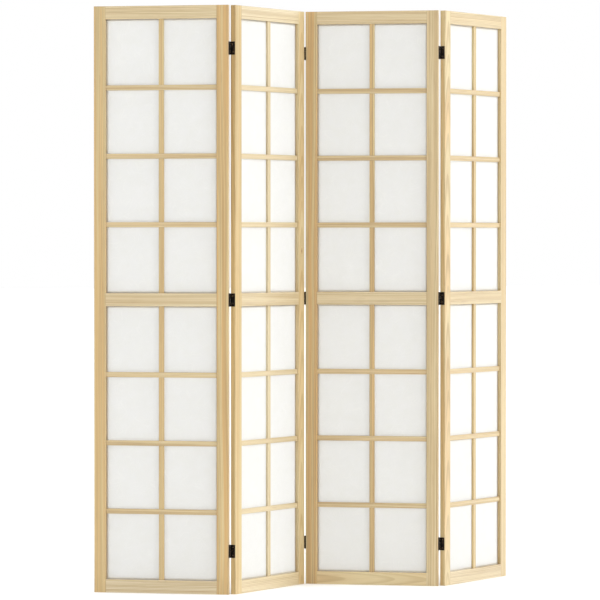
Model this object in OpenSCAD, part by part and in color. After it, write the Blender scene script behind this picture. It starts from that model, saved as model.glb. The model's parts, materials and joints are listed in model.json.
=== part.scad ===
// Folding screen: four softwood panels with a lattice over paper, joined by butt hinges.
// Millimetres, +Z up. The origin is on the floor, in the middle of the standing screen.
// Each panel is drawn in its own frame: x across it from the left edge, y from the front
// face back, z up. The panels then stand in an even zigzag, with +X along the screen.

/* [Panels] */
// Height of each panel
panel_h = 1700; // [1500:10:2000]
// Width of each panel
panel_w = 400; // [340:5:500]
// Thickness of the stiles and rails, front to back
frame_t = 16; // [14:0.5:24]
// Width of each stile
stile_w = 35; // [31:1:60]
// Height of the top rail
top_rail_h = 38; // [34:1:80]
// Height of the middle rail
middle_rail_h = 38; // [34:1:80]
// Height of the bottom rail
bottom_rail_h = 38; // [34:1:80]
// Height of the middle rail's centre above the floor
middle_rail_z = 850; // [600:10:1000]
// Width of the bevel that eases the frame's edges
edge_bevel = 0.8; // [0.3:0.1:1.5]
// Angle that each fold is turned from straight, as the screen stands
fold_angle = 72; // [20:1:150]

/* [Lattice] */
// Number of crossbars above the middle rail, and again below it
crossbar_count = 3; // [1:1:6]
// Width of the centre bars, seen from the front
centre_bar_w = 15; // [8:0.5:30]
// Height of the crossbars, seen from the front
crossbar_w = 15; // [8:0.5:30]
// Thickness of the bars, front to back
bar_t = 7; // [5:0.5:8.5]
// Distance of the bars behind the frame's front face
bar_setback = 4; // [2:0.5:5.5]
// Length of a bar's end that is let into the frame
bar_tongue = 5; // [3:0.5:8]
// Clearance round a bar where it is let into the frame or lapped
bar_clearance = 0.1; // [0.05:0.05:0.3]

/* [Paper and beads] */
// Thickness of the paper
paper_t = 0.4; // [0.2:0.1:1]
// Width of the rebate round the back of each opening
rebate_w = 6; // [4:0.5:6.5]
// Gap between the paper's edge and the rebate's wall
paper_margin = 0.5; // [0.2:0.1:0.9]
// Width of the beads that hold the paper
bead_w = 10; // [7:0.5:16]
// Distance of the beads in front of the frame's back face
bead_setback = 0.5; // [0.2:0.1:1]
// Width of the bevel on a bead's inner edge
bead_bevel = 1.5; // [0.5:0.1:1.8]
// Gap between the beads and the rebate's wall
bead_margin = 0.1; // [0.05:0.05:0.5]
// Gap between two beads where their mitred ends meet
mitre_gap = 0.1; // [0.05:0.05:0.5]

/* [Dowels] */
// Diameter of the dowels
dowel_d = 6; // [5:0.5:6]
// Length of the dowels
dowel_l = 30; // [24:1:34]
// Distance between the two dowels in a rail's end
dowel_spacing = 14; // [10:1:14]
// Radial clearance of a dowel in its hole
dowel_clearance = 0.05; // [0.02:0.01:0.1]
// Clearance past each end of a dowel
dowel_end_gap = 0.5; // [0.2:0.1:0.9]

/* [Hinges] */
// Gap between the edges of two panels in one plane
panel_gap = 1; // [0.9:0.1:3]
// Distance of a hinge's axis from the face that it stands off
pivot_offset = 2.3; // [2.3:0.1:4]
// Height of each hinge
hinge_h = 38; // [30:1:60]
// Distance from a panel's top or bottom to the nearest hinge
hinge_inset = 105; // [60:5:300]
// Thickness of the leaves
leaf_t = 1.2; // [1:0.1:1.3]
// Depth that the leaves are let into the panels' edges
leaf_recess = 0.9; // [0.8:0.1:1]
// Gap between a leaf's short and long edges and its recess
recess_clearance = 0.1; // [0.05:0.05:0.3]
// Distance from a leaf's long edge to the face that it stops short of
leaf_margin = 1.5; // [0.5:0.1:3]
// Number of knuckles, shared by the two leaves in turn
knuckle_count = 6; // [4:2:8]
// Outer diameter of the knuckles
knuckle_d = 4; // [3.6:0.1:4.4]
// Gap between a knuckle and what turns beside it
knuckle_gap = 0.2; // [0.1:0.05:0.4]
// Diameter of the pins
pin_d = 2; // [1.6:0.1:2.4]
// Radial clearance of a pin in the left leaf's knuckles, which hold it
pin_seat_clearance = 0.01; // [0.01:0.01:0.03]
// Radial clearance of a pin in the right leaf's knuckles, which turn on it
pin_run_clearance = 0.05; // [0.04:0.01:0.1]
// Height that a pin stands proud at each end
pin_proud = 0.4; // [0.2:0.1:0.8]

/* [Hinge screws] */
// Diameter of a screw's shank
screw_d = 2.4; // [2:0.1:3]
// Length of a screw
screw_l = 12; // [8:0.5:13]
// Diameter of a screw's head
screw_head_d = 5; // [4:0.1:5.6]
// Height of a screw's countersunk head
screw_head_h = 1.1; // [0.7:0.1:1.1]
// Depth of a screw's head below the leaf's surface
screw_sink = 0.1; // [0.05:0.05:0.2]
// Distance between the two screws in a leaf
screw_spacing = 22; // [16:1:22]
// Clearance round a screw in its leaf and in the wood
screw_clearance = 0.05; // [0.02:0.01:0.1]
// Width of each arm of the cross in a screw's head
cross_arm_w = 0.6; // [0.4:0.1:0.9]
// Length across the cross in a screw's head
cross_l = 2.8; // [1.8:0.1:3.2]
// Depth of the cross in a screw's head
cross_depth = 0.7; // [0.4:0.1:0.9]

/* [Hidden] */
$fn = 48;
PANELS = [1, 2, 3, 4];
FOLDS = ["12", "23", "34"];
PANEL_PARTS = [
    "left_stile", "right_stile", "top_rail", "middle_rail", "bottom_rail", "centre_bars",
    "crossbars", "upper_paper", "lower_paper", "beads", "dowels", "hinge_screws"
];
FOLD_PARTS = ["left_leaves", "right_leaves", "pins"];

pine = "#e3c68f";
pine_light = "#edd5a3";
paper_white = "#f4f4f0";
beech = "#c9a877";
black_metal = "#26231f";

// Overlap that keeps a cut's end clear of the surface it starts from
cut_over = 1;

// Where the panels stand
half_fold = fold_angle / 2;
pivot_reach = panel_w + panel_gap / 2;
back_pivot_y = frame_t + pivot_offset;
front_pivot_y = -pivot_offset;
pivot_spread = back_pivot_y - front_pivot_y;
standing_depth = (panel_w + panel_gap) * sin(half_fold) - pivot_spread * cos(half_fold);

function yaw(k) = k % 2 == 1 ? -half_fold : half_fold;
function across(angle) = [cos(angle), sin(angle)];
function backwards(angle) = [-sin(angle), cos(angle)];
function from_panel(k, x, y) = x * across(yaw(k)) + y * backwards(yaw(k));

pivot_23 = [0, standing_depth / 2];
origin_2 = pivot_23 - from_panel(2, pivot_reach, front_pivot_y);
origin_3 = pivot_23 - from_panel(3, -panel_gap / 2, front_pivot_y);
pivot_12 = origin_2 + from_panel(2, -panel_gap / 2, back_pivot_y);
pivot_34 = origin_3 + from_panel(3, pivot_reach, back_pivot_y);
origin_1 = pivot_12 - from_panel(1, pivot_reach, back_pivot_y);
origin_4 = pivot_34 - from_panel(4, -panel_gap / 2, back_pivot_y);
panel_origins = [origin_1, origin_2, origin_3, origin_4];
fold_pivots = [pivot_12, pivot_23, pivot_34];

// Heights in a panel
lower_opening = [bottom_rail_h, middle_rail_z - middle_rail_h / 2];
upper_opening = [middle_rail_z + middle_rail_h / 2, panel_h - top_rail_h];
openings = [lower_opening, upper_opening];
rail_centres = [bottom_rail_h / 2, middle_rail_z, panel_h - top_rail_h / 2];
hinge_heights = [hinge_inset + hinge_h / 2, middle_rail_z, panel_h - hinge_inset - hinge_h / 2];

function crossbar_heights(opening) = [
    for (i = [1 : crossbar_count])
        opening[0] + (opening[1] - opening[0]) * i / (crossbar_count + 1)
];

// Places across and through a panel
opening_w = panel_w - 2 * stile_w;
paper_y = bar_setback + bar_t;
bead_y = paper_y + paper_t;
bead_t = frame_t - bead_setback - bead_y;

// Hinges, as drawn on a left edge with the barrel in front
knuckle_r = knuckle_d / 2;
plate_y = knuckle_r + knuckle_gap - pivot_offset;
plate_w = frame_t - leaf_margin - plate_y;
knuckle_pitch = hinge_h / knuckle_count;
knuckle_h = knuckle_pitch - knuckle_gap;

module stand_panel(k) {
    translate([panel_origins[k - 1][0], panel_origins[k - 1][1], 0])
        rotate([0, 0, yaw(k)])
            children();
}

// Puts what is drawn for a panel's left edge on the given edge
module on_edge(edge) {
    if (edge == "left")
        children();
    else
        translate([panel_w, 0, 0])
            mirror([1, 0, 0])
                children();
}

// Puts what is drawn for a panel's front face on the given face
module on_face(face) {
    if (face == "front")
        children();
    else
        translate([0, frame_t, 0])
            mirror([0, 1, 0])
                children();
}

// A bevel along x at the edge where the faces y = 0 and z = 0 meet
module bevel_cut(length) {
    rotate([90, 0, 90])
        linear_extrude(length)
            polygon([
                [edge_bevel + cut_over, -cut_over],
                [-cut_over, -cut_over],
                [-cut_over, edge_bevel + cut_over]
            ]);
}

// The same bevel along z, on the edge where the faces x = 0 and y = 0 meet
module upright_bevel_cut(length) {
    mirror([1, 0, 0])
        rotate([0, -90, 0])
            bevel_cut(length);
}

// The bevels round the front of an opening
module opening_bevels(opening) {
    translate([stile_w, 0, opening[0]])
        mirror([0, 0, 1])
            bevel_cut(opening_w);
    translate([stile_w, 0, opening[1]])
        bevel_cut(opening_w);
    for (edge = ["left", "right"])
        on_edge(edge)
            translate([stile_w, 0, opening[0]])
                mirror([1, 0, 0])
                    upright_bevel_cut(opening[1] - opening[0]);
}

// All that one opening takes out of the stiles and rails round it
module opening_cuts(opening) {
    height = opening[1] - opening[0];
    translate([stile_w - rebate_w, paper_y, opening[0] - rebate_w])
        cube([opening_w + 2 * rebate_w, frame_t, height + 2 * rebate_w]);
    for (z = crossbar_heights(opening))
        translate([
            stile_w - bar_tongue - bar_clearance,
            bar_setback,
            z - crossbar_w / 2 - bar_clearance
        ])
            cube([
                opening_w + 2 * (bar_tongue + bar_clearance),
                bar_t,
                crossbar_w + 2 * bar_clearance
            ]);
    translate([
        panel_w / 2 - centre_bar_w / 2 - bar_clearance,
        bar_setback,
        opening[0] - bar_tongue - bar_clearance
    ])
        cube([
            centre_bar_w + 2 * bar_clearance,
            bar_t,
            height + 2 * (bar_tongue + bar_clearance)
        ]);
    opening_bevels(opening);
}

// Rods along x where the dowels lie, for the dowels and for their holes
module dowel_rods(radius, length) {
    for (x = [stile_w, panel_w - stile_w])
        for (z = rail_centres)
            for (side = [-1, 1])
                translate([x - length / 2, frame_t / 2, z + side * dowel_spacing / 2])
                    rotate([0, 90, 0])
                        cylinder(r = radius, h = length);
}

module frame_cuts() {
    for (opening = openings)
        opening_cuts(opening);
    dowel_rods(dowel_d / 2 + dowel_clearance, dowel_l + 2 * dowel_end_gap);
}

// A wood screw's outline turned about z, with its head's top at z = 0 and its tip down
module screw_body(grow) {
    shank_r = screw_d / 2 + grow;
    head_r = screw_head_d / 2 + grow;
    length = screw_l + grow;
    rotate_extrude()
        polygon([
            [0, 0],
            [head_r, 0],
            [shank_r, -screw_head_h],
            [shank_r, screw_d - length],
            [0, -length]
        ]);
}

// Puts its children at the screws of the three leaves on a left edge, heads outwards
module at_edge_screws() {
    for (hinge_z = hinge_heights)
        for (side = [-1, 1])
            translate([
                leaf_recess - leaf_t + screw_sink,
                plate_y + plate_w / 2,
                hinge_z + side * screw_spacing / 2
            ])
                rotate([0, -90, 0])
                    children();
}

// The recesses of the three leaves on a left edge, open towards the barrels
module leaf_recesses() {
    for (hinge_z = hinge_heights)
        translate([-cut_over, -cut_over, hinge_z - hinge_h / 2 - recess_clearance])
            cube([
                leaf_recess + cut_over,
                plate_y + plate_w + recess_clearance + cut_over,
                hinge_h + 2 * recess_clearance
            ]);
}

// The edges of a panel that carry hinges, each with the face that the barrels stand off
function hinged_edges(k) = [
    if (k > 1) ["left", k == 3 ? "front" : "back"],
    if (k < 4) ["right", k == 2 ? "front" : "back"]
];

module stile(k, edge) {
    color(pine)
        difference() {
            on_edge(edge)
                difference() {
                    cube([stile_w, frame_t, panel_h]);
                    for (face = ["front", "back"])
                        on_face(face)
                            translate([0, 0, -cut_over])
                                upright_bevel_cut(panel_h + 2 * cut_over);
                }
            frame_cuts();
            for (hinged = hinged_edges(k))
                if (hinged[0] == edge)
                    on_edge(edge)
                        on_face(hinged[1]) {
                            leaf_recesses();
                            at_edge_screws()
                                screw_body(screw_clearance);
                        }
        }
}

module rail(bottom, height) {
    color(pine_light)
        difference() {
            translate([stile_w, 0, bottom])
                cube([opening_w, frame_t, height]);
            frame_cuts();
        }
}

module top_rail() {
    rail(panel_h - top_rail_h, top_rail_h);
}

module middle_rail() {
    rail(middle_rail_z - middle_rail_h / 2, middle_rail_h);
}

module bottom_rail() {
    rail(0, bottom_rail_h);
}

// Upright bars, notched in front where the crossbars pass
module centre_bars() {
    color(pine)
        for (opening = openings)
            difference() {
                translate([panel_w / 2 - centre_bar_w / 2, bar_setback, opening[0] - bar_tongue])
                    cube([centre_bar_w, bar_t, opening[1] - opening[0] + 2 * bar_tongue]);
                for (z = crossbar_heights(opening))
                    translate([
                        panel_w / 2 - centre_bar_w,
                        bar_setback - cut_over,
                        z - crossbar_w / 2 - bar_clearance
                    ])
                        cube([
                            2 * centre_bar_w,
                            bar_t / 2 + cut_over,
                            crossbar_w + 2 * bar_clearance
                        ]);
            }
}

// Level bars, notched behind where they pass over the centre bars
module crossbars() {
    color(pine_light)
        for (opening = openings)
            for (z = crossbar_heights(opening))
                difference() {
                    translate([stile_w - bar_tongue, bar_setback, z - crossbar_w / 2])
                        cube([opening_w + 2 * bar_tongue, bar_t, crossbar_w]);
                    translate([
                        panel_w / 2 - centre_bar_w / 2 - bar_clearance,
                        bar_setback + bar_t / 2,
                        z - crossbar_w
                    ])
                        cube([
                            centre_bar_w + 2 * bar_clearance,
                            bar_t,
                            2 * crossbar_w
                        ]);
                }
}

module paper(opening) {
    reach = rebate_w - paper_margin;
    color(paper_white)
        translate([stile_w - reach, paper_y, opening[0] - reach])
            cube([opening_w + 2 * reach, paper_t, opening[1] - opening[0] + 2 * reach]);
}

// A bead along x from its outer edge at z = 0 up to bead_w, mitred at both ends
module bead(length) {
    inset = mitre_gap / sqrt(2);
    intersection() {
        rotate([90, 0, 90])
            linear_extrude(length)
                polygon([
                    [0, 0],
                    [bead_t, 0],
                    [bead_t, bead_w - bead_bevel],
                    [bead_t - bead_bevel, bead_w],
                    [0, bead_w]
                ]);
        translate([0, bead_t + cut_over, 0])
            rotate([90, 0, 0])
                linear_extrude(bead_t + 2 * cut_over)
                    polygon([
                        [inset, 0],
                        [length - inset, 0],
                        [length - inset - bead_w, bead_w],
                        [inset + bead_w, bead_w]
                    ]);
    }
}

// Four mitred beads round the back of each sheet
module beads() {
    reach = rebate_w - bead_margin;
    color(pine)
        for (opening = openings) {
            width = opening_w + 2 * reach;
            height = opening[1] - opening[0] + 2 * reach;
            translate([stile_w - reach, bead_y, opening[0] - reach]) {
                bead(width);
                translate([0, 0, height])
                    mirror([0, 0, 1])
                        bead(width);
                mirror([1, 0, 0])
                    rotate([0, -90, 0])
                        bead(height);
                translate([width, 0, 0])
                    rotate([0, -90, 0])
                        bead(height);
            }
        }
}

module dowels() {
    color(beech) dowel_rods(dowel_d / 2, dowel_l);
}

module hinge_screws(k) {
    color(black_metal)
        for (hinged = hinged_edges(k))
            on_edge(hinged[0])
                on_face(hinged[1])
                    at_edge_screws()
                        difference() {
                            screw_body(0);
                            for (turn = [0, 90])
                                rotate([0, 0, turn])
                                    translate([-cross_l / 2, -cross_arm_w / 2, -cross_depth])
                                        cube([cross_l, cross_arm_w, cross_depth + cut_over]);
                        }
}

// A leaf's plate and its knuckles: every second one, counted from the top
module leaf_body(hinge_z, first_knuckle) {
    translate([leaf_recess - leaf_t, plate_y, hinge_z - hinge_h / 2])
        cube([leaf_t, plate_w, hinge_h]);
    for (i = [first_knuckle : 2 : knuckle_count - 1]) {
        bottom = hinge_z + hinge_h / 2 - (i + 1) * knuckle_pitch + knuckle_gap / 2;
        translate([-panel_gap / 2, -pivot_offset, bottom])
            cylinder(r = knuckle_r, h = knuckle_h);
        translate([leaf_recess - leaf_t, -pivot_offset, bottom])
            cube([leaf_t, plate_y + pivot_offset + cut_over, knuckle_h]);
    }
}

// The three leaves on one edge of a panel, whose barrels stand off the given face
module leaves(edge, face, first_knuckle, pin_clearance) {
    color(black_metal)
        on_edge(edge)
            on_face(face)
                difference() {
                    for (hinge_z = hinge_heights)
                        leaf_body(hinge_z, first_knuckle);
                    translate([-panel_gap / 2, -pivot_offset, 0])
                        cylinder(r = pin_d / 2 + pin_clearance, h = panel_h);
                    at_edge_screws() {
                        screw_body(screw_clearance);
                        cylinder(r = screw_head_d / 2 + screw_clearance, h = cut_over);
                    }
                }
}

module left_leaves(k) {
    leaves("right", k == 2 ? "front" : "back", 0, pin_seat_clearance);
}

module right_leaves(k) {
    leaves("left", k == 3 ? "front" : "back", 1, pin_run_clearance);
}

// The three pins of one fold, with chamfered ends
module pins(pivot) {
    pin_r = pin_d / 2;
    half_l = hinge_h / 2 + pin_proud;
    chamfer = pin_proud / 2;
    color(black_metal)
        for (z = hinge_heights)
            translate([pivot[0], pivot[1], z])
                rotate_extrude()
                    polygon([
                        [0, -half_l],
                        [pin_r - chamfer, -half_l],
                        [pin_r, chamfer - half_l],
                        [pin_r, half_l - chamfer],
                        [pin_r - chamfer, half_l],
                        [0, half_l]
                    ]);
}

for (k = PANELS) {
    p = str("panel_", k, "_");
    stand_panel(k) stile(k, "left");
    stand_panel(k) stile(k, "right");
    stand_panel(k) top_rail();
    stand_panel(k) middle_rail();
    stand_panel(k) bottom_rail();
    stand_panel(k) centre_bars();
    stand_panel(k) crossbars();
    stand_panel(k) paper(upper_opening);
    stand_panel(k) paper(lower_opening);
    stand_panel(k) beads();
    stand_panel(k) dowels();
    stand_panel(k) hinge_screws(k);
}
for (fold = [0 : 2]) {
    h = str("hinge_", FOLDS[fold], "_");
    stand_panel(fold + 1) left_leaves(fold + 1);
    stand_panel(fold + 2) right_leaves(fold + 2);
    pins(fold_pivots[fold]);
}
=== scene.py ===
"""Folding screen: the looks of a four-panel pine screen with a lattice over paper.

Laid out as an add-on and run as a script. Lengths are in metres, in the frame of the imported
model: +Z up, +X along the screen, -Y towards the viewer. Each panel also has its own frame:
x across it from the left edge, y from its front face back, z up.
"""

import json
import math
import random
from functools import partial

import bpy
from mathutils import Euler, Matrix, Vector

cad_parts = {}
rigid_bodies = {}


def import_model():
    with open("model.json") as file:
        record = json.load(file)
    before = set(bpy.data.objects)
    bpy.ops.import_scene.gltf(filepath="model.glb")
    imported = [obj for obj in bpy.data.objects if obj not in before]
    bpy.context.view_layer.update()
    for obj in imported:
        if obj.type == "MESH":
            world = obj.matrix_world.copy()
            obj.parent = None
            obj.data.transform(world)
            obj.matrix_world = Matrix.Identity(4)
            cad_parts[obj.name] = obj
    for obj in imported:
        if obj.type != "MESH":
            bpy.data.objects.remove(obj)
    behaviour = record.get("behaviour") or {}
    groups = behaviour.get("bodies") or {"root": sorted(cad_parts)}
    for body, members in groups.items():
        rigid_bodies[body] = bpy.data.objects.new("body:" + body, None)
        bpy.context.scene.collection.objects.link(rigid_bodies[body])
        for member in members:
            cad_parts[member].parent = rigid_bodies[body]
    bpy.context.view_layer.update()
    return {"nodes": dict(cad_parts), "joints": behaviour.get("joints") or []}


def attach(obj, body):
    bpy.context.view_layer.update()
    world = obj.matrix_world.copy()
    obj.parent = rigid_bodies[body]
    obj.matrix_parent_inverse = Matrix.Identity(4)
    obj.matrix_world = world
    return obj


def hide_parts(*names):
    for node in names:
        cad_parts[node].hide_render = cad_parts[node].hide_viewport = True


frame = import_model()

bl_info = {
    "name": "Folding screen",
    "version": (1, 0, 0),
    "blender": (4, 5, 0),
    "location": "View3D > Sidebar > Screen",
    "description": "Dresses a packed folding screen in pine, paper and black steel",
    "category": "Object",
}

MM = 0.001
PANELS = (1, 2, 3, 4)
FOLDS = ("12", "23", "34")
PIVOTS = {joint["name"]: Vector(joint["pos_m"]) for joint in frame["joints"]}

MATH = "ShaderNodeMath"
VECTOR_MATH = "ShaderNodeVectorMath"
RAMP = "ShaderNodeMapRange"
MIX = "ShaderNodeMix"
MAPPING = "ShaderNodeMapping"
NOISE = "ShaderNodeTexNoise"
PRINCIPLED = "ShaderNodeBsdfPrincipled"
COMBINE = "ShaderNodeCombineXYZ"
SEPARATE = "ShaderNodeSeparateXYZ"


def length(name, description, default_mm):
    """A length property, its default given in millimetres."""
    return bpy.props.FloatProperty(
        name=name, description=description, default=default_mm * MM, min=0.0,
        unit="LENGTH", subtype="DISTANCE", precision=4,
    )


def linear(hex_colour):
    """An sRGB hex colour as linear red, green, blue and alpha."""
    channels = [int(hex_colour[i:i + 2], 16) / 255 for i in (1, 3, 5)]
    return (*(c / 12.92 if c <= 0.04045 else ((c + 0.055) / 1.055) ** 2.4 for c in channels), 1.0)


def colour(name, description, hex_default):
    """A colour property, its default given as sRGB hex."""
    return bpy.props.FloatVectorProperty(
        name=name, description=description, default=linear(hex_default), size=4,
        min=0.0, max=1.0, subtype="COLOR",
    )


class ScreenSizes(bpy.types.PropertyGroup):
    """The sizes of the panels, their lattice and their paper."""

    panel_width: length("Panel width", "Width of each panel", 400)
    panel_height: length("Panel height", "Height of each panel", 1700)
    frame_thickness: length("Frame thickness", "Stiles and rails, front to back", 16)
    stile_width: length("Stile width", "Width of each stile", 35)
    rail_height: length("Rail height", "Height of each of the three rails", 38)
    middle_rail_centre: length("Middle rail", "Height of its centre above the floor", 850)
    panel_gap: length("Panel gap", "Between the edges of two panels in one plane", 1)
    pivot_offset: length("Pivot offset", "From a hinge's axis to the face it stands off", 2.3)
    fold_angle: bpy.props.FloatProperty(
        name="Fold", description="Angle that each fold is turned from straight",
        default=math.radians(72), subtype="ANGLE",
    )
    bar_width: length("Bar width", "Lattice bars, seen from the front", 15)
    bar_thickness: length("Bar thickness", "Lattice bars, front to back", 7)
    bar_setback: length("Bar setback", "Bars behind the frame's front face", 4)
    bar_tongue: length("Bar tongue", "Length of a bar's end that is let into the frame", 5)
    lap_clearance: length("Lap clearance", "Gap at the sides of a half-lap", 0.1)
    bar_easing: length("Bar easing", "Width of the rounding on the bars' edges", 0.6)
    crossbar_count: bpy.props.IntProperty(
        name="Crossbars", description="Crossbars above the middle rail, and again below it",
        default=3, min=1, max=6,
    )
    paper_thickness: length("Paper thickness", "Thickness of the paper", 0.4)
    paper_lap: length("Paper lap", "Width of the paper behind the frame, on each side", 5.5)
    paper_cockle: length("Paper cockle", "How far a pane of paper waves out of flat", 0.35)


class ScreenColours(bpy.types.PropertyGroup):
    """The colours of the screen's materials."""

    early_wood: colour("Early wood", "Pale pine between the dark lines of the rings", "#C9B582")
    honey_wood: colour("Honey wood", "Pine of the resinous years, which show as warmer bands", "#C89F5C")
    late_wood: colour("Late wood", "The dark lines of the rings", "#9C7E48")
    sap_wood: colour("Sap wood", "The palest boards", "#D6CAAC")
    # painted shade: the boards are darkened towards this colour along their edges and joints
    painted_edge_shade: colour("Arris", "Edges of the boards, where the lacquer is thicker", "#857453")
    knot_wood: colour("Knot", "Heart of a knot", "#7C5330")
    beech: colour("Beech", "Dowels", "#C8A67C")
    beech_fleck: colour("Beech fleck", "Darker flecks in the dowels", "#A57F54")
    paper: colour("Paper", "Washi paper", "#EEEEED")
    paper_pulp: colour("Paper pulp", "Thicker clouds of pulp in the paper", "#EDEDEB")
    paper_fibre: colour("Paper fibre", "Long fibres in the paper", "#FAFAF7")
    black_enamel: colour("Black enamel", "Finish of the hinges and screws", "#0B0806")
    # partly worn enamel and partly painted highlights on the hinges' knuckles
    worn_enamel_and_highlight: colour("Worn enamel", "The same finish where it is rubbed thin", "#5A4128")
    # partly bare steel and partly painted highlights on the hinges' knuckles
    bare_steel_and_highlight: colour("Bare steel", "Steel where the enamel has worn off and browned", "#9A8468")


class ScreenStage(bpy.types.PropertyGroup):
    """Where the camera stands, and how bright the lights are."""

    camera_x: bpy.props.FloatProperty(
        name="Camera X", description="Camera, along the screen", default=-4.74264, unit="LENGTH")
    camera_y: bpy.props.FloatProperty(
        name="Camera Y", description="Camera, in front of the screen", default=-10.43778, unit="LENGTH")
    camera_z: bpy.props.FloatProperty(
        name="Camera height", description="Camera above the floor", default=1.03588, unit="LENGTH")
    camera_turn: bpy.props.FloatProperty(
        name="Camera turn", description="To the right of straight at the screen",
        default=math.radians(24.1346), subtype="ANGLE")
    camera_dip: bpy.props.FloatProperty(
        name="Camera dip", description="Below the level", default=math.radians(0.9488), subtype="ANGLE")
    lens: bpy.props.FloatProperty(
        name="Lens", description="Focal length on a 36 mm sensor", default=233.494, unit="CAMERA")
    walls: bpy.props.FloatProperty(
        name="Walls", description="Brightness of the white room near the horizon", default=1.0)
    ceiling: bpy.props.FloatProperty(
        name="Ceiling", description="Brightness of the room overhead", default=0.35)
    right_light: bpy.props.FloatProperty(
        name="Right light", description="Strength of the soft light from the right", default=2.6)
    front_light: bpy.props.FloatProperty(
        name="Front light", description="Strength of the soft light from the front", default=0.43)
    left_light: bpy.props.FloatProperty(
        name="Left light", description="Strength of the soft light from the left", default=0.4)
    back_light: bpy.props.FloatProperty(
        name="Back light", description="Strength of the soft light from behind", default=0.6)
    overhead: bpy.props.FloatProperty(
        name="Overhead", description="Strength of the light on the floor", default=2.0)
    floor: colour("Floor", "Pale floor", "#F6F6F5")


def sizes():
    """The screen's sizes in this scene."""
    return bpy.context.scene.folding_screen_sizes


def colours():
    """The screen's colours in this scene."""
    return bpy.context.scene.folding_screen_colours


def add_node(tree, kind, inputs=(), out=0, **settings):
    """Adds a node with its settings and links, and returns its output named or numbered out.

    inputs holds values or other nodes' outputs, in order or by the sockets' names.
    """
    made = tree.nodes.new(kind)
    for name, value in settings.items():
        setattr(made, name, value)
    for key, value in inputs.items() if isinstance(inputs, dict) else enumerate(inputs):
        if isinstance(value, bpy.types.NodeSocket):
            tree.links.new(value, made.inputs[key])
        else:
            made.inputs[key].default_value = value
    return made.outputs[out] if made.outputs else made


def group_tree(name, inputs, outputs, kind="ShaderNodeTree"):
    """A node group with the given sockets, and its inputs' sockets by name."""
    tree = bpy.data.node_groups.new(name, kind)
    for socket_name, socket_type, default in inputs:
        socket = tree.interface.new_socket(socket_name, in_out="INPUT", socket_type=socket_type)
        if default is not None:
            socket.default_value = default
    for socket_name, socket_type in outputs:
        tree.interface.new_socket(socket_name, in_out="OUTPUT", socket_type=socket_type)
    return tree, add_node(tree, "NodeGroupInput").node.outputs


def panel_matrix(k):
    """From panel k's own frame to the model's. The folds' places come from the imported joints."""
    s = sizes()
    turn = Matrix.Rotation(s.fold_angle / 2 * (-1 if k % 2 else 1), 4, "Z")
    fold, at_left = {1: ("12", False), 2: ("12", True), 3: ("23", True), 4: ("34", True)}[k]
    across = -s.panel_gap / 2 if at_left else s.panel_width + s.panel_gap / 2
    back = -s.pivot_offset if fold == "23" else s.frame_thickness + s.pivot_offset
    corner = PIVOTS[f"fold_{fold}"] - turn @ Vector((across, back, 0))
    return Matrix.Translation((corner.x, corner.y, 0)) @ turn


def openings():
    """Lowest and highest point of each of a panel's two openings, the lower one first."""
    s = sizes()
    half_rail = s.rail_height / 2
    return (
        (s.rail_height, s.middle_rail_centre - half_rail),
        (s.middle_rail_centre + half_rail, s.panel_height - s.rail_height),
    )


# Materials

RING_SPACING = 3.7 * MM
KNOT_FREE = (0.0, 9.0, 0.004)  # a knot's place across and up, and its radius: far off the board
STRAIGHT_TAPER, ARCHED_TAPER = 0.004, 0.035  # how fast a log's rings narrow, metre for metre
ARCHED_PITH = 0.019  # across an arched board, near its middle

# From a panel's frame to a board's: z along the grain, x across its face, y into it
UPRIGHT_GRAIN = Matrix.Identity(4)
LEVEL_GRAIN = Matrix(((0, 0, -1, 0), (0, 1, 0, 0), (1, 0, 0, 0), (0, 0, 0, 1)))


def new_material(name):
    """An empty node material."""
    made = bpy.data.materials.new(name)
    made.use_nodes = True
    made.node_tree.nodes.clear()
    return made


def placed(tree, whole):
    """Object coordinates moved and turned by a matrix."""
    place = add_node(tree, "ShaderNodeTexCoord", (), "Object")
    return add_node(
        tree, MAPPING,
        {"Vector": place, "Location": whole.to_translation(), "Rotation": whole.to_euler("XYZ")},
    )


def drawn_out_noise(tree, place, blobs, seed, detail=2.0):
    """Noise from 0 to 1 with that many blobs to the metre along each axis."""
    spread = add_node(tree, MAPPING, {"Vector": place, "Location": seed, "Scale": blobs})
    return add_node(tree, NOISE, {"Vector": spread, "Scale": 1.0, "Detail": detail}, "Fac")


def edge_mask(tree, radius):
    """1 along the sharp edges and joints of a piece, falling to 0 about radius in from them."""
    rounded = add_node(tree, "ShaderNodeBevel", {"Radius": radius}, samples=6)
    flat = add_node(tree, "ShaderNodeNewGeometry", (), "Normal")
    # the two normals are 6 degrees apart at 0.995 and 37 degrees at 0.80
    same = add_node(tree, VECTOR_MATH, (rounded, flat), "Value", operation="DOT_PRODUCT")
    return add_node(tree, RAMP, (same, 0.995, 0.80, 0.0, 1.0), interpolation_type="SMOOTHSTEP")


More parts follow.
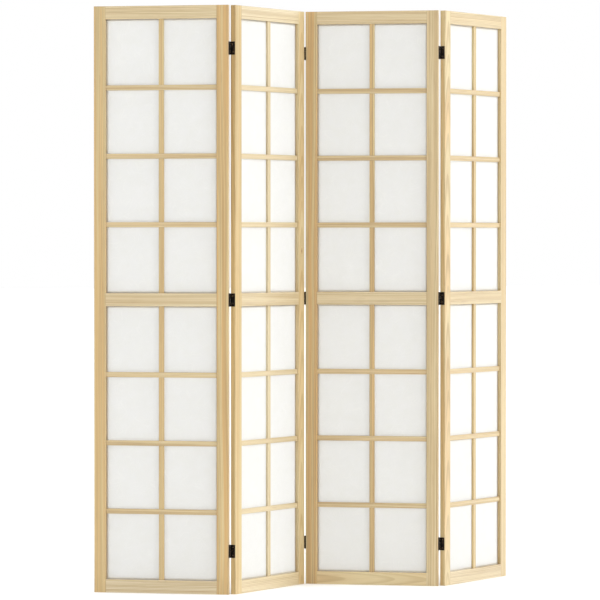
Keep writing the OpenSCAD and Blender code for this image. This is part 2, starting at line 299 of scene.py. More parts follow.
def pine_figure():
    """Growth rings, bands, fibres and a knot, in a board's own frame with z along the grain.

    The board is cut out of a log: its pith runs along z at Pith, outside the board, and the
    rings are cones round it. So faces show lines or arches, and end grain shows arcs.
    """
    tree, given = group_tree(
        "Pine figure",
        [
            ("Place", "NodeSocketVector", None),
            ("Pith", "NodeSocketVector", (-0.08, 0.05, 0.0)),
            ("Taper", "NodeSocketFloat", STRAIGHT_TAPER),
            ("Seed", "NodeSocketVector", (0.0, 0.0, 0.0)),
            ("Early", "NodeSocketColor", (1, 1, 1, 1)),
            ("Honey", "NodeSocketColor", (1, 1, 1, 1)),
            ("Late", "NodeSocketColor", (1, 1, 1, 1)),
            ("Knot", "NodeSocketColor", (1, 1, 1, 1)),
            ("Knot Place", "NodeSocketVector", (0.0, 0.0, 9.0)),
            ("Knot Radius", "NodeSocketFloat", 0.004),
            ("Figure", "NodeSocketFloat", 1.0),
            ("Warmth", "NodeSocketFloat", 0.5),
        ],
        [("Color", "NodeSocketColor"), ("Roughness", "NodeSocketFloat"), ("Height", "NodeSocketFloat")],
    )
    add = partial(add_node, tree)
    place, seed = given["Place"], given["Seed"]
    along = add(SEPARATE, (place,), "Z")

    # the knot runs straight through the board, nearly twice as long along it as across, and the
    # rings swerve round it by a centimetre
    offset = add(VECTOR_MATH, (place, given["Knot Place"]), operation="SUBTRACT")
    offset = add(VECTOR_MATH, (offset, (1.0, 0.0, 0.55)), operation="MULTIPLY")
    reach = add(VECTOR_MATH, (offset,), "Value", operation="LENGTH")
    reach = add(MATH, (reach, given["Knot Radius"]), operation="DIVIDE")
    swerve = add(RAMP, (reach, 5.0, 0.8, 0.0, 0.010), interpolation_type="SMOOTHSTEP")

    # distance from the pith, wandering by a few millimetres every half metre along the board
    from_pith = add(VECTOR_MATH, (place, given["Pith"]), operation="SUBTRACT")
    from_pith = add(VECTOR_MATH, (from_pith, (1.0, 1.0, 0.0)), operation="MULTIPLY")
    radius = add(VECTOR_MATH, (from_pith,), "Value", operation="LENGTH")
    wander = drawn_out_noise(tree, place, (9, 9, 1.6), seed)
    radius = add(MATH, (wander, 0.014, radius), operation="MULTIPLY_ADD")
    radius = add(MATH, (along, given["Taper"], radius), operation="MULTIPLY_ADD")
    radius = add(MATH, (radius, swerve), operation="ADD")

    # rings 2 to 6 mm apart, each ending in a narrow dark line
    years = add(COMBINE, (radius, 0.0, along))
    uneven = drawn_out_noise(tree, years, (55, 1, 0.6), seed, 1.0)
    counted = add(MATH, (radius, 1 / RING_SPACING), operation="MULTIPLY")
    counted = add(MATH, (uneven, 3.0, counted), operation="MULTIPLY_ADD")
    ring = add(MATH, (counted,), operation="FRACT")
    darkening = add(RAMP, (ring, 0.35, 0.88, 0.0, 1.0), interpolation_type="SMOOTHSTEP")
    fresh_start = add(RAMP, (ring, 0.94, 1.0, 0.0, 1.0), interpolation_type="SMOOTHSTEP")
    late = add(MATH, (darkening, fresh_start), operation="SUBTRACT", use_clamp=True)

    # good and poor years, which show as bands 5 to 12 mm wide: drawn broader than real ones,
    # so that they show at the photograph's 3 mm to a pixel
    dense = drawn_out_noise(tree, years, (170, 1, 1.4), seed, 2.0)
    dense = add(RAMP, (dense, 0.38, 0.64, 0.0, 1.0), interpolation_type="SMOOTHSTEP")
    resinous = drawn_out_noise(tree, years, (120, 1, 0.8), (3.0, 7.0, 5.0), 1.0)
    resinous = add(RAMP, (resinous, 0.36, 0.62, 0.0, 1.0), interpolation_type="SMOOTHSTEP")
    drift = drawn_out_noise(tree, place, (14, 14, 2.2), seed, 1.0)
    # fibres 0.7 mm wide and ducts 1.5 mm wide, each about ten times the real width
    fibre = drawn_out_noise(tree, place, (1400, 1400, 26), seed)
    duct = drawn_out_noise(tree, place, (650, 650, 15), seed, 0.0)
    duct = add(RAMP, (duct, 0.70, 0.76, 0.0, 0.2), interpolation_type="SMOOTHSTEP")

    # each adds its share of darkness, and the last line takes off what they have in common
    tone = add(MATH, (late, 0.42), operation="MULTIPLY")
    tone = add(MATH, (dense, 0.30, tone), operation="MULTIPLY_ADD")
    tone = add(MATH, (drift, 0.34, tone), operation="MULTIPLY_ADD")
    tone = add(MATH, (fibre, 0.22, tone), operation="MULTIPLY_ADD")
    tone = add(MATH, (tone, 0.22), operation="SUBTRACT")
    tone = add(MATH, (tone, given["Figure"]), operation="MULTIPLY", use_clamp=True)

    warm = add(MATH, (resinous, given["Warmth"]), operation="MULTIPLY", use_clamp=True)
    wood = add(MIX, {0: warm, 6: given["Early"], 7: given["Honey"]}, 2, data_type="RGBA")
    wood = add(MIX, {0: tone, 6: wood, 7: given["Late"]}, 2, data_type="RGBA")
    wood = add(MIX, {0: duct, 6: wood, 7: given["Knot"]}, 2, data_type="RGBA")
    heart = add(RAMP, (reach, 1.15, 0.75, 0.0, 0.8), interpolation_type="SMOOTHSTEP")
    halo = add(RAMP, (reach, 3.2, 0.9, 0.0, 0.35), interpolation_type="SMOOTHSTEP")
    knotty = add(MATH, (heart, halo), operation="MAXIMUM")
    wood = add(MIX, {0: knotty, 6: wood, 7: given["Knot"]}, 2, data_type="RGBA")

    # hard late wood takes a higher shine than the open early wood
    shine = add(MATH, (fibre, 0.16, 0.38), operation="MULTIPLY_ADD")
    shine = add(MATH, (late, -0.06, shine), operation="MULTIPLY_ADD")
    relief = add(MATH, (fibre, 0.5), operation="MULTIPLY")
    relief = add(MATH, (late, 0.35, relief), operation="MULTIPLY_ADD")
    add("NodeGroupOutput", {"Color": wood, "Roughness": shine, "Height": relief})
    return tree


# Each board has its own figure. figure is how strong its lines are, warmth how orange its bands
# are, and pale how far it is towards sap wood. arched boards are cut from near the pith, so that
# their rings make long arches. knot is metres across and along the board, and its radius. A
# panel's own line goes before the line that all panels share.
BOARDS = {
    "left_stile": {"figure": 1.0, "warmth": 0.8, "pale": 0.0},
    "right_stile": {"figure": 1.0, "warmth": 0.6, "pale": 0.1},
    "top_rail": {"figure": 1.15, "warmth": 0.35, "pale": 0.45},
    "middle_rail": {"figure": 1.0, "warmth": 0.35, "pale": 0.5},
    "bottom_rail": {"figure": 1.2, "warmth": 0.45, "pale": 0.75},
    "crossbars": {"figure": 1.4, "warmth": 0.5, "pale": 0.3},
    "centre_bars": {"figure": 1.2, "warmth": 0.5, "pale": 0.0},
    "beads": {"figure": 0.9, "warmth": 0.4, "pale": 0.4},
    "panel_1_right_stile": {"figure": 1.2, "warmth": 1.0, "pale": 0.0},
    "panel_2_left_stile": {"figure": 1.0, "warmth": 0.6, "pale": 0.1},
    "panel_2_right_stile": {
        "figure": 0.8, "warmth": 0.6, "pale": 0.35, "arched": True, "knot": (0.019, 0.99, 0.0022)},
    "panel_2_top_rail": {"figure": 1.0, "warmth": 0.3, "pale": 0.9},
    "panel_2_middle_rail": {"figure": 1.0, "warmth": 0.3, "pale": 0.9},
    "panel_2_bottom_rail": {"figure": 1.2, "warmth": 0.4, "pale": 0.8},
    "panel_2_crossbars": {"figure": 0.9, "warmth": 0.4, "pale": 0.7},
    "panel_2_centre_bars": {"figure": 0.9, "warmth": 0.4, "pale": 0.7},
    "panel_3_left_stile": {"figure": 1.2, "warmth": 1.6, "pale": 0.0},
    "panel_3_right_stile": {"figure": 1.3, "warmth": 0.4, "pale": 0.35},
    "panel_3_bottom_rail": {"figure": 0.8, "warmth": 0.5, "pale": 0.2, "arched": True},
    "panel_3_centre_bars": {"figure": 1.6, "warmth": 0.7, "pale": 0.0},
    "panel_4_left_stile": {"figure": 1.0, "warmth": 0.7, "pale": 0.2, "arched": True},
    "panel_4_right_stile": {"figure": 0.9, "warmth": 0.5, "pale": 0.2},
}


def inset(tree, distance, low, high):
    """How far a distance is inside the stretch from low to high."""
    off_centre = add_node(tree, MATH, (distance, (low + high) / 2), operation="SUBTRACT")
    off_centre = add_node(tree, MATH, (off_centre,), operation="ABSOLUTE")
    return add_node(tree, MATH, ((high - low) / 2, off_centre), operation="SUBTRACT")


def level_strips(tree, k):
    """1 on a panel's level beads and 0 on its upright ones, which meet in mitres."""
    s = sizes()
    place = placed(tree, panel_matrix(k).inverted())
    across, up = (add_node(tree, SEPARATE, (place,), axis) for axis in "XZ")
    from_side = inset(tree, across, s.stile_width, s.panel_width - s.stile_width)
    lower, upper = (inset(tree, up, *opening) for opening in openings())
    from_rail = add_node(tree, MATH, (lower, upper), operation="MAXIMUM")
    return add_node(tree, MATH, (from_rail, from_side), operation="LESS_THAN")


def pine(k, board, grain, corner):
    """Scots pine, planed and clear lacquered.

    Pale wood with straight brown lines and warm bands, under a satin film that turns bright
    where it is seen at a slant. Its colour is darkened along the edges and joints as painted
    shade. k is the panel, board the board's name in it, and corner its top or bottom corner in
    the panel's frame.
    """
    name = f"panel_{k}_{board}"
    look = BOARDS.get(name, BOARDS[board])
    luck = random.Random(name)
    made = new_material(f"planed pine, {name}")
    tree = made.node_tree
    add = partial(add_node, tree)
    to_corner = Matrix.Translation(-Vector(corner)) @ panel_matrix(k).inverted()
    place = placed(tree, grain @ to_corner)
    if board == "beads":
        sideways = placed(tree, LEVEL_GRAIN @ to_corner)
        place = add(MIX, {0: level_strips(tree, k), 4: place, 5: sideways}, 1, data_type="VECTOR")

    c = colours()
    early, honey = (
        Vector(wood).lerp(Vector(c.sap_wood), look["pale"]) for wood in (c.early_wood, c.honey_wood))
    arched = look.get("arched", False)
    # the pith lies off to one side of the board and behind it, or straight behind an arched one
    pith = (luck.choice((-1, 1)) * luck.uniform(0.07, 0.13), luck.uniform(0.03, 0.07), 0.0)
    if arched:
        pith = (ARCHED_PITH, luck.uniform(0.035, 0.05), 0.0)
    across, up, radius = look.get("knot", KNOT_FREE)
    figure = add(
        "ShaderNodeGroup", out="Color",
        node_tree=bpy.data.node_groups.get("Pine figure") or pine_figure(),
    ).node
    for socket, value in {
        "Pith": pith,
        "Taper": ARCHED_TAPER if arched else STRAIGHT_TAPER,
        "Seed": [luck.uniform(0, 50) for _ in range(3)],
        "Early": early,
        "Honey": honey,
        "Late": c.late_wood,
        "Knot": c.knot_wood,
        "Knot Place": (across, 0.0, up),
        "Knot Radius": radius,
        "Figure": look["figure"],
        "Warmth": look["warmth"] * luck.uniform(0.85, 1.15),
    }.items():
        figure.inputs[socket].default_value = value
    tree.links.new(place, figure.inputs["Place"])

    # dark edges 2 mm wide: painted shade along the edges and joints, about twice the real width, so that
    # they show at 3 mm to a pixel
    edges = add(MATH, (edge_mask(tree, 2.0 * MM), 0.5), operation="MULTIPLY")
    shown = add(MIX, {0: edges, 6: figure.outputs["Color"], 7: c.painted_edge_shade}, 2, data_type="RGBA")
    relief = add(
        "ShaderNodeBump", {"Strength": 0.25, "Distance": 0.12 * MM, "Height": figure.outputs["Height"]})
    shader = add(
        PRINCIPLED,
        {
            "Base Color": shown,
            "Roughness": figure.outputs["Roughness"],
            "IOR": 1.5,
            "Coat Weight": 1.0,
            "Coat Roughness": 0.3,
            "Normal": relief,
        },
    )
    add("ShaderNodeOutputMaterial", {"Surface": shader})
    return made


SHARE_THROUGH = 0.55  # of the paper's shading: what comes through it from the other side


def washi(k):
    """Washi, mulberry paper for screens: laid by hand, bleached, matt.

    Long fibres cross it at random and its pulp clouds a little, and it lets some light through
    from behind.
    """
    made = new_material(f"washi paper, panel {k}")
    tree = made.node_tree
    add = partial(add_node, tree)
    place = placed(tree, panel_matrix(k).inverted())
    seed = (11.0 * k, 3.0, 7.0 * k)
    cloud = drawn_out_noise(tree, place, (45, 45, 45), seed, 3.0)
    # fibres 15 to 40 mm long that bend by about a centimetre, drawn 0.6 mm wide, six times the
    # real width
    curl = add(NOISE, {"Vector": place, "Scale": 22.0, "Detail": 1.0}, "Color")
    bent = add(VECTOR_MATH, (curl, (0.05, 0.0, 0.05), place), operation="MULTIPLY_ADD")
    fibres = 0.0
    for turn in (0.5, 1.75, 2.7):
        turned = add(MAPPING, {"Vector": bent, "Rotation": (0, turn, 0)})
        strand = drawn_out_noise(tree, turned, (520, 1, 17), seed, 0.0)
        strand = add(RAMP, (strand, 0.66, 0.72, 0.0, 1.0), interpolation_type="SMOOTHSTEP")
        fibres = add(MATH, (strand, fibres), operation="MAXIMUM")

    c = colours()
    clouded = add(RAMP, (cloud, 0.3, 0.75, 0.0, 1.0), interpolation_type="SMOOTHSTEP")
    pulp = add(MIX, {0: clouded, 6: c.paper, 7: c.paper_pulp}, 2, data_type="RGBA")
    strength = add(MATH, (fibres, 0.18), operation="MULTIPLY")
    shown = add(MIX, {0: strength, 6: pulp, 7: c.paper_fibre}, 2, data_type="RGBA")
    thickness = add(MATH, (cloud, 0.6, fibres), operation="MULTIPLY_ADD")
    relief = add("ShaderNodeBump", {"Strength": 0.05, "Distance": 0.08 * MM, "Height": thickness})
    roughness = add(RAMP, (cloud, 0.2, 0.8, 0.74, 0.86), interpolation_type="SMOOTHSTEP")
    matt = add(
        PRINCIPLED,
        {
            "Base Color": shown,
            "Roughness": roughness,
            "IOR": 1.45,
            "Sheen Weight": 0.08,
            "Normal": relief,
        },
    )
    through = add("ShaderNodeBsdfTranslucent", {"Color": shown, "Normal": relief})
    both = add("ShaderNodeMixShader", (SHARE_THROUGH, matt, through))
    add("ShaderNodeOutputMaterial", {"Surface": both})
    return made


def beech_dowel():
    """Beech, turned into dowel rod: even pinkish tan with short dark flecks, raw and dull."""
    made = new_material("turned beech")
    tree = made.node_tree
    add = partial(add_node, tree)
    place = add("ShaderNodeTexCoord", (), "Object")
    flecks = drawn_out_noise(tree, place, (260, 260, 1100), (4, 4, 4), 1.0)
    flecks = add(RAMP, (flecks, 0.56, 0.66, 0.0, 0.6), interpolation_type="SMOOTHSTEP")
    c = colours()
    shown = add(MIX, {0: flecks, 6: c.beech, 7: c.beech_fleck}, 2, data_type="RGBA")
    roughness = add(MATH, (flecks, 0.1, 0.62), operation="MULTIPLY_ADD")
    shader = add(PRINCIPLED, {"Base Color": shown, "Roughness": roughness})
    add("ShaderNodeOutputMaterial", {"Surface": shader})
    return made


def black_hinge_steel():
    """Mild steel, pressed and stove enamelled black.

    A satin black film with a faint orange peel, rubbed thin on its high spots and through to
    browned steel in places along the rims of the plates and knuckles. The rubbed patches and
    rims are drawn strong so that they also serve as painted highlights on the knuckles.
    """
    made = new_material("stove-enamelled steel")
    tree = made.node_tree
    add = partial(add_node, tree)
    place = add("ShaderNodeTexCoord", (), "Object")
    # the peel's bumps are 0.6 mm apart, and the rubbed patches 4 mm
    peel = drawn_out_noise(tree, place, (1600, 1600, 1600), (1, 2, 3), 1.0)
    rub = drawn_out_noise(tree, place, (230, 230, 230), (5, 1, 8), 2.0)
    # rubbed rims 0.8 mm wide, three times the real width, partly wear and partly painted highlights on
    # the knuckles
    specks = add(RAMP, (rub, 0.42, 0.54, 0.0, 0.85), interpolation_type="SMOOTHSTEP")
    rim_wear_and_highlight = add(MATH, (edge_mask(tree, 0.8 * MM), specks), operation="MULTIPLY")
    # patches rubbed thin, partly wear and partly painted highlights on the knuckles
    thin = add(RAMP, (rub, 0.52, 0.68, 0.0, 0.5), interpolation_type="SMOOTHSTEP")
    c = colours()
    film = add(MIX, {0: thin, 6: c.black_enamel, 7: c.worn_enamel_and_highlight}, 2, data_type="RGBA")
    shown = add(MIX, {0: rim_wear_and_highlight, 6: film, 7: c.bare_steel_and_highlight}, 2, data_type="RGBA")
    roughness = add(RAMP, (rub, 0.3, 0.7, 0.30, 0.44), interpolation_type="SMOOTHSTEP")
    relief = add("ShaderNodeBump", {"Strength": 0.15, "Distance": 0.05 * MM, "Height": peel})
    shader = add(
        PRINCIPLED,
        {
            "Base Color": shown,
            "Metallic": rim_wear_and_highlight,
            "Roughness": roughness,
            "Specular IOR Level": 0.2,
            "Normal": relief,
        },
    )
    add("ShaderNodeOutputMaterial", {"Surface": shader})
    return made


def dress(node, material):
    """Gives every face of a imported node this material."""
    piece = frame["nodes"][node]
    piece.data.materials.clear()
    piece.data.materials.append(material)


# Shapes


def shape_tree(name, inputs):
    """A Geometry Nodes tree whose inputs end with a place, a turn and a material."""
    return group_tree(
        name,
        [*inputs, ("Place", "NodeSocketVector", None), ("Turn", "NodeSocketFloat", 0.0),
         ("Material", "NodeSocketMaterial", None)],
        [("Geometry", "NodeSocketGeometry")],
        "GeometryNodeTree",
    )


def end_shape(tree, given, shape):
    """Stands the shape in its panel's place, and ends its tree."""
    add = partial(add_node, tree)
    turn = add(COMBINE, (0.0, 0.0, given["Turn"]))
    stood = add(
        "GeometryNodeTransform", {"Geometry": shape, "Translation": given["Place"], "Rotation": turn})
    real = add("GeometryNodeRealizeInstances", (stood,))
    dressed = add("GeometryNodeSetMaterial", {"Geometry": real, "Material": given["Material"]})
    add("NodeGroupOutput", (dressed,))


def grown(name, tree, k, values, material, finish):
    """A plain mesh piece in panel k, made by a node tree and then a modifier.

    values holds the tree's inputs by name; finish is the modifier's type and its settings.
    """
    whole = panel_matrix(k)
    values = {
        **values, "Place": whole.to_translation(), "Turn": whole.to_euler().z, "Material": material}
    links = bpy.context.scene.collection.objects
    seedling = bpy.data.objects.new(f"{name}_seedling", bpy.data.meshes.new(f"{name}_seedling"))
    links.link(seedling)
    nodes = seedling.modifiers.new("Shape", "NODES")
    nodes.node_group = tree
    for socket in tree.interface.items_tree:
        if socket.in_out == "INPUT":
            nodes[socket.identifier] = values[socket.name]
    kind, settings = finish
    last = seedling.modifiers.new("Finish", kind)
    for setting, value in settings.items():
        setattr(last, setting, value)
    graph = bpy.context.evaluated_depsgraph_get()
    mesh = bpy.data.meshes.new_from_object(seedling.evaluated_get(graph))
    bpy.data.objects.remove(seedling)
    if not mesh.polygons:
        raise RuntimeError(f"{name}: the node tree made no faces")
    mesh.name = name
    piece = bpy.data.objects.new(name, mesh)
    links.link(piece)
    return piece


LATTICE_INPUTS = [
    ("Middle", "NodeSocketFloat", 0.2),
    ("Depth", "NodeSocketFloat", 0.0075),
    ("Length", "NodeSocketFloat", 0.34),
    ("Tongue", "NodeSocketFloat", 0.005),
    ("Bar Width", "NodeSocketFloat", 0.015),
    ("Bar Thickness", "NodeSocketFloat", 0.007),
    ("Lap Clearance", "NodeSocketFloat", 0.0001),
    ("Crossbars", "NodeSocketInt", 3),
    ("Lower Bottom", "NodeSocketFloat", 0.038),
    ("Lower Top", "NodeSocketFloat", 0.831),
    ("Upper Bottom", "NodeSocketFloat", 0.869),
    ("Upper Top", "NodeSocketFloat", 1.662),
]


def lattice_values():
    """The lattice trees' inputs."""
    s = sizes()
    (lower_bottom, lower_top), (upper_bottom, upper_top) = openings()
    return {
        "Middle": s.panel_width / 2,
        "Depth": s.bar_setback + s.bar_thickness / 2,
        "Length": s.panel_width - 2 * s.stile_width + 2 * s.bar_tongue,
        "Tongue": s.bar_tongue,
        "Bar Width": s.bar_width,
        "Bar Thickness": s.bar_thickness,
        "Lap Clearance": s.lap_clearance,
        "Crossbars": s.crossbar_count,
        "Lower Bottom": lower_bottom,
        "Lower Top": lower_top,
        "Upper Bottom": upper_bottom,
        "Upper Top": upper_top,
    }


def lap_places(tree, bottom, top, count, x, y):
    """Points where the crossbars of one opening lie, evenly spaced from rail to rail."""
    add = partial(add_node, tree)
    rise = add(MATH, (top, bottom), operation="SUBTRACT")
    spaces = add(MATH, (count, 1.0), operation="ADD")
    step = add(MATH, (rise, spaces), operation="DIVIDE")
    first = add(COMBINE, (x, y, add(MATH, (bottom, step), operation="ADD")))
    upward = add(COMBINE, (0.0, 0.0, step))
    return add(
        "GeometryNodeMeshLine", {"Count": count, "Start Location": first, "Offset": upward},
        mode="OFFSET", count_mode="TOTAL",
    )


def crossbar_tree():
    """Level bars, each notched behind where it passes over the centre bar."""
    tree, given = shape_tree("Crossbars", LATTICE_INPUTS)
    add = partial(add_node, tree)
    width, thickness = given["Bar Width"], given["Bar Thickness"]
    bar = add("GeometryNodeMeshCube", {"Size": add(COMBINE, (given["Length"], thickness, width))})
    lap = add(MATH, (given["Lap Clearance"], 2.0, width), operation="MULTIPLY_ADD")
    tall = add(MATH, (width, 2.0), operation="MULTIPLY")
    cutter = add("GeometryNodeMeshCube", {"Size": add(COMBINE, (lap, thickness, tall))})
    back = add(COMBINE, (0.0, add(MATH, (thickness, 0.5), operation="MULTIPLY"), 0.0))
    cutter = add("GeometryNodeTransform", {"Geometry": cutter, "Translation": back})
    bar = add("GeometryNodeMeshBoolean", {"Mesh 1": bar, "Mesh 2": cutter}, operation="DIFFERENCE")
    joined = add("GeometryNodeJoinGeometry").node
    for opening in ("Upper", "Lower"):
        points = lap_places(
            tree, given[f"{opening} Bottom"], given[f"{opening} Top"], given["Crossbars"],
            given["Middle"], given["Depth"])
        bars = add("GeometryNodeInstanceOnPoints", {"Points": points, "Instance": bar})
        tree.links.new(bars, joined.inputs[0])
    end_shape(tree, given, joined.outputs[0])
    return tree


def centre_bar_tree():
    """Upright bars, one in each opening, notched in front where the crossbars pass."""
    tree, given = shape_tree("Centre bars", LATTICE_INPUTS)
    add = partial(add_node, tree)
    width, thickness = given["Bar Width"], given["Bar Thickness"]
    lap = add(MATH, (given["Lap Clearance"], 2.0, width), operation="MULTIPLY_ADD")
    broad = add(MATH, (width, 2.0), operation="MULTIPLY")
    cutter = add("GeometryNodeMeshCube", {"Size": add(COMBINE, (broad, thickness, lap))})
    front = add(MATH, (thickness, -0.5, given["Depth"]), operation="MULTIPLY_ADD")
    joined = add("GeometryNodeJoinGeometry").node
    for opening in ("Upper", "Lower"):
        bottom, top = given[f"{opening} Bottom"], given[f"{opening} Top"]
        rise = add(MATH, (top, bottom), operation="SUBTRACT")
        height = add(MATH, (given["Tongue"], 2.0, rise), operation="MULTIPLY_ADD")
        middle = add(MATH, (rise, 0.5, bottom), operation="MULTIPLY_ADD")
        bar = add("GeometryNodeMeshCube", {"Size": add(COMBINE, (width, thickness, height))})
        centre = add(COMBINE, (given["Middle"], given["Depth"], middle))
        bar = add("GeometryNodeTransform", {"Geometry": bar, "Translation": centre})
        points = lap_places(tree, bottom, top, given["Crossbars"], given["Middle"], front)
        cutters = add("GeometryNodeInstanceOnPoints", {"Points": points, "Instance": cutter})
        cutters = add("GeometryNodeRealizeInstances", (cutters,))
        bar = add("GeometryNodeMeshBoolean", {"Mesh 1": bar, "Mesh 2": cutters}, operation="DIFFERENCE")
        tree.links.new(bar, joined.inputs[0])
    end_shape(tree, given, joined.outputs[0])
    return tree


GRID_ACROSS, GRID_UP = 35, 81  # vertices of a sheet, about every 10 mm


def paper_tree():
    """A taut sheet that waves slightly inside each pane and is flat along the bars and frame."""
    tree, given = shape_tree(
        "Taut paper",
        [
            ("Width", "NodeSocketFloat", 0.341),
            ("Height", "NodeSocketFloat", 0.804),
            ("Opening Width", "NodeSocketFloat", 0.33),
            ("Opening Height", "NodeSocketFloat", 0.793),
            ("Panes Up", "NodeSocketInt", 4),
            ("Cockle", "NodeSocketFloat", 0.00035),
            ("Seed", "NodeSocketFloat", 0.0),
            ("Middle", "NodeSocketVector", None),
        ],
    )
    add = partial(add_node, tree)
    flat = add(
        "GeometryNodeMeshGrid",
        {
            "Size X": given["Width"], "Size Y": given["Height"],
            "Vertices X": GRID_ACROSS, "Vertices Y": GRID_UP,
        },
    )
    place = add("GeometryNodeInputPosition")
    across, up = add(SEPARATE, (place,), "X"), add(SEPARATE, (place,), "Y")
    slack = 1.0
    for distance, size, panes in (
        (across, given["Opening Width"], 2.0), (up, given["Opening Height"], given["Panes Up"]),
    ):
        share = add(MATH, (distance, size), operation="DIVIDE")
        share = add(MATH, (share, 0.5), operation="ADD", use_clamp=True)
        wave = add(MATH, (share, math.pi), operation="MULTIPLY")
        wave = add(MATH, (wave, panes), operation="MULTIPLY")
        wave = add(MATH, (wave,), operation="SINE")
        wave = add(MATH, (wave,), operation="ABSOLUTE")
        slack = add(MATH, (wave, slack), operation="MULTIPLY")
    # waves about 80 mm long
    spot = add(COMBINE, (across, up, given["Seed"]))
    cockle = add(NOISE, {"Vector": spot, "Scale": 13.0, "Detail": 1.0}, "Fac")
    cockle = add(MATH, (cockle, slack), operation="MULTIPLY")
    cockle = add(MATH, (cockle, given["Cockle"]), operation="MULTIPLY")
    back = add(COMBINE, (0.0, 0.0, add(MATH, (cockle, -1.0), operation="MULTIPLY")))
    waved = add("GeometryNodeSetPosition", {"Geometry": flat, "Offset": back})
    upright = add(
        "GeometryNodeTransform",
        {"Geometry": waved, "Rotation": Euler((math.pi / 2, 0, 0)), "Translation": given["Middle"]},
    )
    end_shape(tree, given, add("GeometryNodeSetShadeSmooth", {"Geometry": upright}))
    return tree


# One operator for each group of pieces, and one for the stage


class FOLDING_SCREEN_OT_frames(bpy.types.Operator):
    """Finish the stiles and rails in planed pine, each board with its own figure"""

    bl_idname = "folding_screen.frames"
    bl_label = "Stiles and rails"
    bl_options = {"REGISTER", "UNDO"}

    def execute(self, context):
        s = sizes()
        inner, rail = s.stile_width, s.rail_height
        boards = (
            ("left_stile", UPRIGHT_GRAIN, (0, 0, 0)),
            ("right_stile", UPRIGHT_GRAIN, (s.panel_width - inner, 0, 0)),
            ("top_rail", LEVEL_GRAIN, (inner, 0, s.panel_height)),
            ("middle_rail", LEVEL_GRAIN, (inner, 0, s.middle_rail_centre + rail / 2)),
            ("bottom_rail", LEVEL_GRAIN, (inner, 0, rail)),
        )
        for k in PANELS:
            for board, grain, corner in boards:
                dress(f"panel_{k}_{board}", pine(k, board, grain, corner))
        return {"FINISHED"}


class FOLDING_SCREEN_OT_lattice(bpy.types.Operator):
    """Build the half-lapped lattice bars with eased edges"""

    bl_idname = "folding_screen.lattice"
    bl_label = "Lattice bars"
    bl_options = {"REGISTER", "UNDO"}

    def execute(self, context):
        s = sizes()
        easing = ("BEVEL", {"width": s.bar_easing, "segments": 2, "limit_method": "ANGLE"})
        middle = (s.panel_width - s.bar_width) / 2
        bars = (
            ("crossbars", crossbar_tree(), LEVEL_GRAIN, (s.stile_width, s.bar_setback, 0)),
            ("centre_bars", centre_bar_tree(), UPRIGHT_GRAIN, (middle, s.bar_setback, 0)),
        )
        for k in PANELS:
            for part, tree, grain, corner in bars:
                node = f"panel_{k}_{part}"
                material = pine(k, part, grain, corner)
                piece = grown(f"{node}_eased", tree, k, lattice_values(), material, easing)
                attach(piece, f"panel_{k}")
                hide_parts(node)
        return {"FINISHED"}


class FOLDING_SCREEN_OT_paper(bpy.types.Operator):
    """Stretch a sheet of washi behind each half of each panel"""

    bl_idname = "folding_screen.paper"
    bl_label = "Paper"
    bl_options = {"REGISTER", "UNDO"}

    def execute(self, context):
        s = sizes()
        tree = paper_tree()
        wall = ("SOLIDIFY", {"thickness": s.paper_thickness, "offset": -1.0})
        opening_width = s.panel_width - 2 * s.stile_width
        width = opening_width + 2 * s.paper_lap
        front = s.bar_setback + s.bar_thickness
        for k in PANELS:
            material = washi(k)
            for half, (bottom, top) in zip(("lower", "upper"), openings()):
                height = top - bottom + 2 * s.paper_lap
                node = f"panel_{k}_{half}_paper"
                values = {
                    "Width": width,
                    "Height": height,
                    "Opening Width": opening_width,
                    "Opening Height": top - bottom,
                    "Panes Up": s.crossbar_count + 1,
                    "Cockle": s.paper_cockle,
                    "Seed": 2.0 * k + (half == "upper"),
                    "Middle": (s.panel_width / 2, front, (bottom + top) / 2),
                }
                piece = grown(f"{node}_sheet", tree, k, values, material, wall)
                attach(piece, f"panel_{k}")
                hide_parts(node)
        return {"FINISHED"}


class FOLDING_SCREEN_OT_beads(bpy.types.Operator):
    """Finish the beads behind the paper, and the dowels inside the joints"""

    bl_idname = "folding_screen.beads"
    bl_label = "Beads and dowels"
    bl_options = {"REGISTER", "UNDO"}

    def execute(self, context):
        s = sizes()
        turned = beech_dowel()
        for k in PANELS:
            dress(f"panel_{k}_beads", pine(k, "beads", UPRIGHT_GRAIN, (s.stile_width, s.bar_setback, 0)))
            dress(f"panel_{k}_dowels", turned)
        return {"FINISHED"}


class FOLDING_SCREEN_OT_hinges(bpy.types.Operator):
    """Finish the hinges' leaves, pins and screws in black enamel"""

    bl_idname = "folding_screen.hinges"
    bl_label = "Hinges and screws"
    bl_options = {"REGISTER", "UNDO"}

    def execute(self, context):
        steel = black_hinge_steel()
        for fold in FOLDS:
            for part in ("left_leaves", "right_leaves", "pins"):
                dress(f"hinge_{fold}_{part}", steel)
        for k in PANELS:
            dress(f"panel_{k}_hinge_screws", steel)
        return {"FINISHED"}


class FOLDING_SCREEN_OT_stage(bpy.types.Operator):
    """Set up the pale floor, the soft light and the camera"""

    bl_idname = "folding_screen.stage"
    bl_label = "Stage"
    bl_options = {"REGISTER", "UNDO"}

    def execute(self, context):
        stage = context.scene.folding_screen_stage
        build_floor(stage)
        build_room(stage)
        # bearing to the right of the camera's line, height above the horizon and width in the sky
        for name, strength, bearing, height, spread in (
            ("right light", stage.right_light, 75, 15, 60),
            ("front light", stage.front_light, -15, 15, 60),
            ("left light", stage.left_light, -70, 12, 50),
            ("back light", stage.back_light, 175, 15, 70),
            ("overhead", stage.overhead, 0, 90, 20),
        ):
            build_light(stage, name, strength, bearing, height, spread)
        build_camera(stage)
        context.scene.view_settings.view_transform = "Standard"
        return {"FINISHED"}


FLOOR_REACH = 60.0  # metres from the screen to each edge of the floor
SENSOR_WIDTH = 36.0  # millimetres
CLIP_NEAR, CLIP_FAR = 0.1, 200.0  # metres, from in front of the lens to past the floor's edge


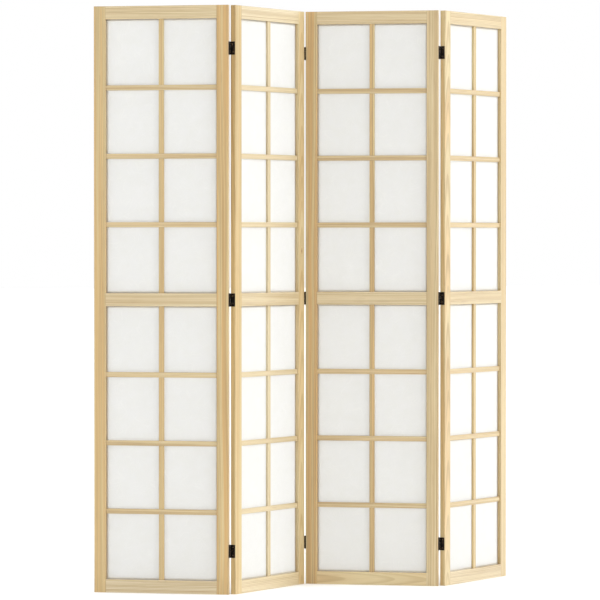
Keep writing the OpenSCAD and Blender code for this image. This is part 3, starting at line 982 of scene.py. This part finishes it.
def build_floor(stage):
    """A pale matt painted floor, with a faint mottle where the roller has passed."""
    made = new_material("matt painted floor")
    tree = made.node_tree
    add = partial(add_node, tree)
    place = add("ShaderNodeTexCoord", (), "Object")
    mottle = drawn_out_noise(tree, place, (3, 3, 3), (0, 0, 0), 4.0)
    roughness = add(RAMP, (mottle, 0.3, 0.7, 0.85, 0.95), interpolation_type="SMOOTHSTEP")
    shader = add(
        PRINCIPLED,
        {"Base Color": stage.floor, "Roughness": roughness, "Specular IOR Level": 0.1},
    )
    add("ShaderNodeOutputMaterial", {"Surface": shader})
    corners = [(x * FLOOR_REACH, y * FLOOR_REACH, 0) for x, y in ((-1, -1), (1, -1), (1, 1), (-1, 1))]
    mesh = bpy.data.meshes.new("floor")
    mesh.from_pydata(corners, [], [(0, 1, 2, 3)])
    mesh.materials.append(made)
    floor = bpy.data.objects.new("floor", mesh)
    bpy.context.scene.collection.objects.link(floor)


def build_room(stage):
    """A white room, brightest near the horizon and dimmer overhead."""
    world = bpy.data.worlds.new("white room")
    world.use_nodes = True
    tree = world.node_tree
    tree.nodes.clear()
    add = partial(add_node, tree)
    rise = add(SEPARATE, (add("ShaderNodeTexCoord", (), "Generated"),), "Z")
    glow = add(RAMP, (rise, 0.20, 0.50, stage.walls, stage.ceiling), interpolation_type="SMOOTHSTEP")
    white = add("ShaderNodeBackground", {"Color": (1.0, 1.0, 1.0, 1.0), "Strength": glow})
    add("ShaderNodeOutputWorld", {"Surface": white})
    bpy.context.scene.world = world


def build_light(stage, name, strength, bearing, height, spread):
    """A soft light from far off. Its bearing, height and spread are in degrees."""
    light = bpy.data.lights.new(name, "SUN")
    light.energy, light.angle = strength, math.radians(spread)
    lamp = bpy.data.objects.new(name, light)
    turn = math.radians(bearing) - stage.camera_turn
    lamp.rotation_euler = (math.radians(90 - height), 0, turn)
    bpy.context.scene.collection.objects.link(lamp)


def build_camera(stage):
    """The camera, level with the middle of the screen and a long way off."""
    eye = bpy.data.cameras.new("camera")
    eye.lens, eye.sensor_width = stage.lens, SENSOR_WIDTH
    eye.clip_start, eye.clip_end = CLIP_NEAR, CLIP_FAR
    camera = bpy.data.objects.new("camera", eye)
    camera.location = (stage.camera_x, stage.camera_y, stage.camera_z)
    camera.rotation_euler = (math.pi / 2 - stage.camera_dip, 0, -stage.camera_turn)
    bpy.context.scene.collection.objects.link(camera)
    bpy.context.scene.camera = camera


class FOLDING_SCREEN_PT_sidebar(bpy.types.Panel):
    """The screen's pieces, sizes and colours"""

    bl_idname = "FOLDING_SCREEN_PT_sidebar"
    bl_label = "Folding screen"
    bl_space_type = "VIEW_3D"
    bl_region_type = "UI"
    bl_category = "Screen"

    def draw(self, context):
        for operator in OPERATORS:
            self.layout.operator(operator.bl_idname)
        for name, group in GROUPS.items():
            box = self.layout.box()
            for value in group.__annotations__:
                box.prop(getattr(context.scene, name), value)


OPERATORS = (
    FOLDING_SCREEN_OT_frames,
    FOLDING_SCREEN_OT_lattice,
    FOLDING_SCREEN_OT_paper,
    FOLDING_SCREEN_OT_beads,
    FOLDING_SCREEN_OT_hinges,
    FOLDING_SCREEN_OT_stage,
)
GROUPS = {
    "folding_screen_sizes": ScreenSizes,
    "folding_screen_colours": ScreenColours,
    "folding_screen_stage": ScreenStage,
}


def register():
    for cls in (*GROUPS.values(), *OPERATORS, FOLDING_SCREEN_PT_sidebar):
        bpy.utils.register_class(cls)
    for name, group in GROUPS.items():
        setattr(bpy.types.Scene, name, bpy.props.PointerProperty(type=group))


def unregister():
    for name in GROUPS:
        delattr(bpy.types.Scene, name)
    for cls in (FOLDING_SCREEN_PT_sidebar, *OPERATORS, *GROUPS.values()):
        bpy.utils.unregister_class(cls)


def main():
    """Dresses the screen."""
    register()
    bpy.ops.folding_screen.frames()
    bpy.ops.folding_screen.lattice()
    bpy.ops.folding_screen.paper()
    bpy.ops.folding_screen.beads()
    bpy.ops.folding_screen.hinges()
    bpy.ops.folding_screen.stage()


if __name__ == "__main__":
    main()
